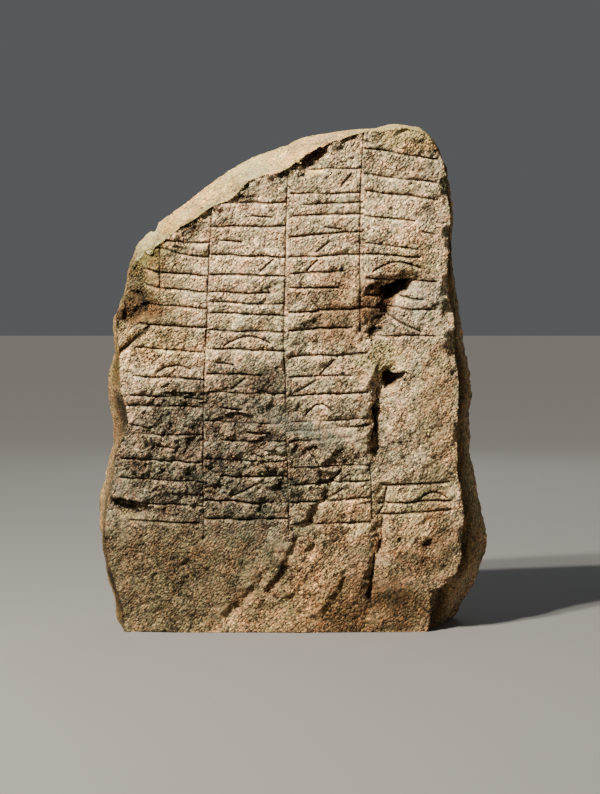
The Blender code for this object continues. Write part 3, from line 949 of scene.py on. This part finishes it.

# Painted shade on the sides that look away from the light, and painted light on those that look up
# towards it: the first vector below is the way in which a shaded side looks. Painted shadow lies at
# the bottom of strokes, painted shade in hollows, and dirt and painted shade in the low places of the
# grain.
AWAY_FROM_LIGHT = np.array([0.45, 0.0, -0.89])
SHADED_SIDE_DARKENING = 0.50
STROKE_SHADOW = 0.45
LIT_SIDE_BRIGHTENING = 0.16
GRAIN_DARKENING_DEPTH, FACET_SHADE_DEPTH, HOLLOW_SHADE_DEPTH = 0.016, 0.045, 0.048
# Painted shadow in the bottom of each stroke.
deepest = on_face * ramp(from_stroke, 0.9 * half_width, 0.0003) * ramp(cut, 0.002, 0.008)
deepest *= np.clip(1 + 0.6 * noise(points, 0.050, 123), 0.4, 1.5)
facing_shade = point_normals(points, faces) @ AWAY_FROM_LIGHT
side_shade = ramp(facing_shade, 0.10, 0.50) * on_face
tone *= (1 + LIT_SIDE_BRIGHTENING * ramp(facing_shade, -0.10, -0.50) * on_face)[:, None]
# Darker in the low places of the grain, which is dirt and painted shade, and in the broken faces, hollows
# and undercut, which is painted shade.
dirt_and_shade = (grain + pitting) / GRAIN_DARKENING_DEPTH + broken / FACET_SHADE_DEPTH + deepest
dirt_and_shade += (hollows + 0.3 * undercut) * on_face / HOLLOW_SHADE_DEPTH
dirt_and_shade = np.clip(np.maximum(dirt_and_shade, 0) + SHADED_SIDE_DARKENING * side_shade, 0, 1) + STROKE_SHADOW * deepest

# How coarse the finest grain is: it comes and goes in patches, and is worn off the smooth parts.
PATCHES = ((0.70, 0.075, 121), (0.30, 0.030, 122))
coarse = np.clip(0.35 + 0.75 * bold, 0, 1) * np.clip(0.90 + layered(points, PATCHES), 0.35, 1.25)
coarse *= (1 - 0.3 * smooth_top) * (1 - 0.55 * clean) * (1 - 0.4 * ramp(from_face, 0.05, 0.12))

granite = bpy.data.materials.new("granite")
granite.use_nodes = True
nodes, links = granite.node_tree.nodes, granite.node_tree.links


def node(kind, inputs=(), **settings):
    """A node of the granite; each of its inputs is a value or another node's output."""
    made = nodes.new(kind)
    for name, value in settings.items():
        setattr(made, name, value)
    for name, value in dict(inputs).items():
        if isinstance(value, bpy.types.NodeSocket):
            links.new(value, made.inputs[name])
        else:
            made.inputs[name].default_value = value
    return made


def blended(kind, share, first, second):
    """Two colours blended in one of Blender's ways, the second one by its share."""
    mix = node("ShaderNodeMix", {0: share, 6: first, 7: second}, data_type="RGBA", blend_type=kind)
    return mix.outputs[2]


def stepped(value, stops, interpolation="LINEAR"):
    """The colour of a value from 0 to 1, from a list of (value, colour)."""
    made = node("ShaderNodeValToRGB", {"Fac": value})
    ramp_stops = made.color_ramp
    ramp_stops.interpolation = interpolation
    while len(ramp_stops.elements) < len(stops):
        ramp_stops.elements.new(1)
    for element, (at, colour) in zip(ramp_stops.elements, stops):
        element.position, element.color = at, (*colour, 1)
    return made.outputs["Color"]


def grey(value):
    """A colour with the same value in red, green and blue."""
    return (value, value, value)


def speckle(vector, scale, detail, roughness):
    """Noise from 0 to 1 at a scale per metre, with finer and finer detail as strong as the roughness."""
    inputs = {"Vector": vector, "Scale": scale, "Detail": detail, "Roughness": roughness}
    return node("ShaderNodeTexNoise", inputs).outputs["Fac"]


def combined(operation, *values):
    """Values put through one of Blender's sums."""
    return node("ShaderNodeMath", dict(enumerate(values)), operation=operation).outputs[0]


def carried(name, output):
    """What the mesh carries for each point under a name."""
    return node("ShaderNodeAttribute", attribute_name=name).outputs[output]


# Colours at steps of their pattern, from 0 to 1. The ground drifts from olive to pink, with greenish
# and reddish blooms in it; crystals are dark, grey-green, pink or nearly white.
GROUND = ((0.36, (0.60, 0.53, 0.39)), (0.52, (0.72, 0.58, 0.43)), (0.66, (0.75, 0.60, 0.445)))
BLOOMS = (
    (0.36, (0.80, 0.89, 0.86)),
    (0.44, (0.95, 1.00, 0.92)),
    (0.50, grey(1.0)),
    (0.60, (1.10, 0.96, 0.88)),
)
SHADES = ((0.30, grey(0.72)), (0.52, grey(1.0)), (0.70, grey(1.2)))
CRYSTALS = (
    (0.00, (0.17, 0.15, 0.13)),
    (0.10, (0.52, 0.53, 0.50)),
    (0.26, (0.93, 0.96, 0.90)),
    (0.50, (1.08, 0.98, 0.87)),
    (0.78, (1.80, 1.64, 1.35)),
)
# Painted shade in the low places of the finest grain and a painted highlight on its high places.
GRAIN_SHADE_AND_HIGHLIGHT = (
    (0.34, (0.21, 0.18, 0.16)),
    (0.44, (0.73, 0.70, 0.675)),
    (0.52, grey(1.0)),
    (0.66, (1.33, 1.30, 1.25)),
)
SPECKS = ((0.36, (0.165, 0.135, 0.12)), (0.43, grey(1.0)), (0.60, grey(1.0)), (0.68, grey(1.45)))
LICHEN_EDGE = ((0.42, grey(0.0)), (0.56, grey(1.0)))
LICHEN = (0.55, 0.52, 0.26, 1)
# The colour of dirt and painted shade.
DIRT_AND_SHADE_COLOUR = (0.117, 0.103, 0.094, 1)

# The patterns: each noise's scale per metre, detail and roughness, and how many crystals and crumbs
# lie along a metre.
GROUND_NOISE = (2.6, 5, 0.6)
BLOOM_NOISE = (19, 4, 0.6)
SHADE_NOISE = (11, 6, 0.65)
LICHEN_NOISE = (38, 6, 0.7)
SWELL_NOISE = (105, 3.2, 0.62)
HEAVE_NOISE = (46, 1, 0.5)
WIDE_SPECKS = (34, 3, 0.6)
FINE_SPECKS = (135, 2, 0.5)
CRYSTAL_SCALE = 125
CRUMB_SCALE = 190

# The grain's own axes: turned so that X runs up to the right, and stretched along it.
GRAIN_TURN = (0, -0.795, 0)
GRAIN_STRETCH = (1.3, 1, 1)
CRYSTAL_STRENGTH = 0.85
WIDE_SPECK_SHARE = 0.5
place = node("ShaderNodeTexCoord").outputs["Object"]
split_inputs = {"Vector": place, "Rotation": GRAIN_TURN, "Scale": GRAIN_STRETCH}
split = node("ShaderNodeMapping", split_inputs, vector_type="TEXTURE").outputs["Vector"]
swell = speckle(split, *SWELL_NOISE)
heave = speckle(split, *HEAVE_NOISE)
crystals = node("ShaderNodeTexVoronoi", {"Vector": split, "Scale": CRYSTAL_SCALE})
crystal, crown = crystals.outputs["Color"], crystals.outputs["Distance"]
crumb = node("ShaderNodeTexVoronoi", {"Vector": place, "Scale": CRUMB_SCALE}).outputs["Color"]

# The colour, from the ground up: drifts, blooms, shades, crystals, tints with painted shade and light,
# lichen, painted shade and highlight on the grain, and dirt with painted shade.
colour = stepped(speckle(place, *GROUND_NOISE), GROUND)
colour = blended("MULTIPLY", 1.0, colour, stepped(speckle(place, *BLOOM_NOISE), BLOOMS))
colour = blended("MULTIPLY", 1.0, colour, stepped(speckle(place, *SHADE_NOISE), SHADES))
colour = blended("MULTIPLY", CRYSTAL_STRENGTH, colour, stepped(crystal, CRYSTALS, "CONSTANT"))
colour = blended("MULTIPLY", 1.0, colour, stepped(crumb, CRYSTALS, "CONSTANT"))
colour = blended("MULTIPLY", 1.0, colour, carried("tone", "Color"))
growth = stepped(speckle(place, *LICHEN_NOISE), LICHEN_EDGE)
growth = combined("MULTIPLY", carried("lichen", "Fac"), growth)
colour = blended("MIX", growth, colour, LICHEN)
coarseness = carried("coarse", "Fac")
colour = blended("MULTIPLY", coarseness, colour, stepped(swell, GRAIN_SHADE_AND_HIGHLIGHT))
wide_specks, fine_specks = speckle(place, *WIDE_SPECKS), speckle(split, *FINE_SPECKS)
specks = combined("MULTIPLY_ADD", wide_specks, WIDE_SPECK_SHARE, fine_specks)
specks = combined("SUBTRACT", specks, WIDE_SPECK_SHARE / 2)
colour = blended("MULTIPLY", coarseness, colour, stepped(specks, SPECKS))
colour = blended("MULTIPLY", carried("dirt_and_painted_shade", "Fac"), colour, DIRT_AND_SHADE_COLOUR)

# The finest grain stands up from the surface: crystals with low edges, on swells and heaves.
GRAIN_HEIGHT = 0.070
CROWN_SHARE = -0.60
CRUMB_SHARE = 0.14
HEAVE_SHARE = 0.70
height = combined("MULTIPLY_ADD", crown, CROWN_SHARE, swell)
height = combined("MULTIPLY_ADD", crumb, CRUMB_SHARE, height)
height = combined("MULTIPLY_ADD", heave, HEAVE_SHARE, height)
bump = node("ShaderNodeBump", {"Height": height, "Strength": coarseness, "Distance": GRAIN_HEIGHT})
shader = nodes["Principled BSDF"]
links.new(colour, shader.inputs["Base Color"])
links.new(bump.outputs["Normal"], shader.inputs["Normal"])
shader.inputs["Roughness"].default_value = 0.9
shader.inputs["Specular IOR Level"].default_value = 0.25

mesh = bpy.data.meshes.new("standing_stone")
mesh.from_pydata(points, [], faces)
mesh.shade_smooth()
mesh.materials.append(granite)
mesh.attributes.new("tone", "FLOAT_COLOR", "POINT").data.foreach_set(
    "color", np.column_stack([tone, np.ones(len(points))]).ravel()
)
for name, values in (("lichen", lichen), ("dirt_and_painted_shade", dirt_and_shade), ("coarse", coarse)):
    mesh.attributes.new(name, "FLOAT", "POINT").data.foreach_set("value", values)
stone = bpy.data.objects.new("standing_stone", mesh)
bpy.context.scene.collection.objects.link(stone)
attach(stone, "root")
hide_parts("rune_stone")

# ---------------------------------------------------------------------------------------------
# Floor and light. A plain pale floor. A warm lamp and the studio's roof light both shine from high
# on the left in front, and a weak wide lamp behind lets the back show its shape.
FLOOR_REACH = 60
floor_mesh = bpy.data.meshes.new("floor")
floor_corners = [(x * FLOOR_REACH, y * FLOOR_REACH, 0) for x, y in ((-1, -1), (1, -1), (1, 1), (-1, 1))]
floor_mesh.from_pydata(floor_corners, [], [(0, 1, 2, 3)])
floor_paint = bpy.data.materials.new("pale_floor")
floor_paint.use_nodes = True
paint = floor_paint.node_tree.nodes["Principled BSDF"].inputs
paint["Base Color"].default_value = (0.24, 0.235, 0.23, 1)
paint["Roughness"].default_value = 0.9
floor_mesh.materials.append(floor_paint)
floor = bpy.data.objects.new("floor", floor_mesh)
bpy.context.scene.collection.objects.link(floor)


def lamp(name, kind, towards, power, colour):
    """A lamp of a kind that shines down the line from towards to the middle of the scene."""
    light = bpy.data.lights.new(name, kind)
    light.energy, light.color = power, colour
    made = bpy.data.objects.new(name, light)
    made.location = towards
    steep = math.acos(towards[2] / math.hypot(*towards))
    made.rotation_euler = (steep, 0, math.atan2(towards[1], towards[0]) + math.pi / 2)
    bpy.context.scene.collection.objects.link(made)
    return light


WARM = (1.0, 0.92, 0.80)
COOL = (0.92, 0.96, 1.0)
key = lamp("key", "AREA", (-3.0, -3.1, 5.0), 620, WARM)
key.size = 0.30
roof_light = lamp("roof_light", "SUN", (-3.0, -2.9, 4.05), 3.0, WARM)
roof_light.angle = math.radians(2.5)
fill = lamp("fill", "AREA", (1.0, 6.0, 3.5), 60, COOL)
fill.size = 4.0
world = bpy.data.worlds.new("studio")
world.use_nodes = True
room = world.node_tree.nodes["Background"].inputs
room["Color"].default_value = (0.84, 0.86, 0.90, 1)
room["Strength"].default_value = 0.12
bpy.context.scene.world = world
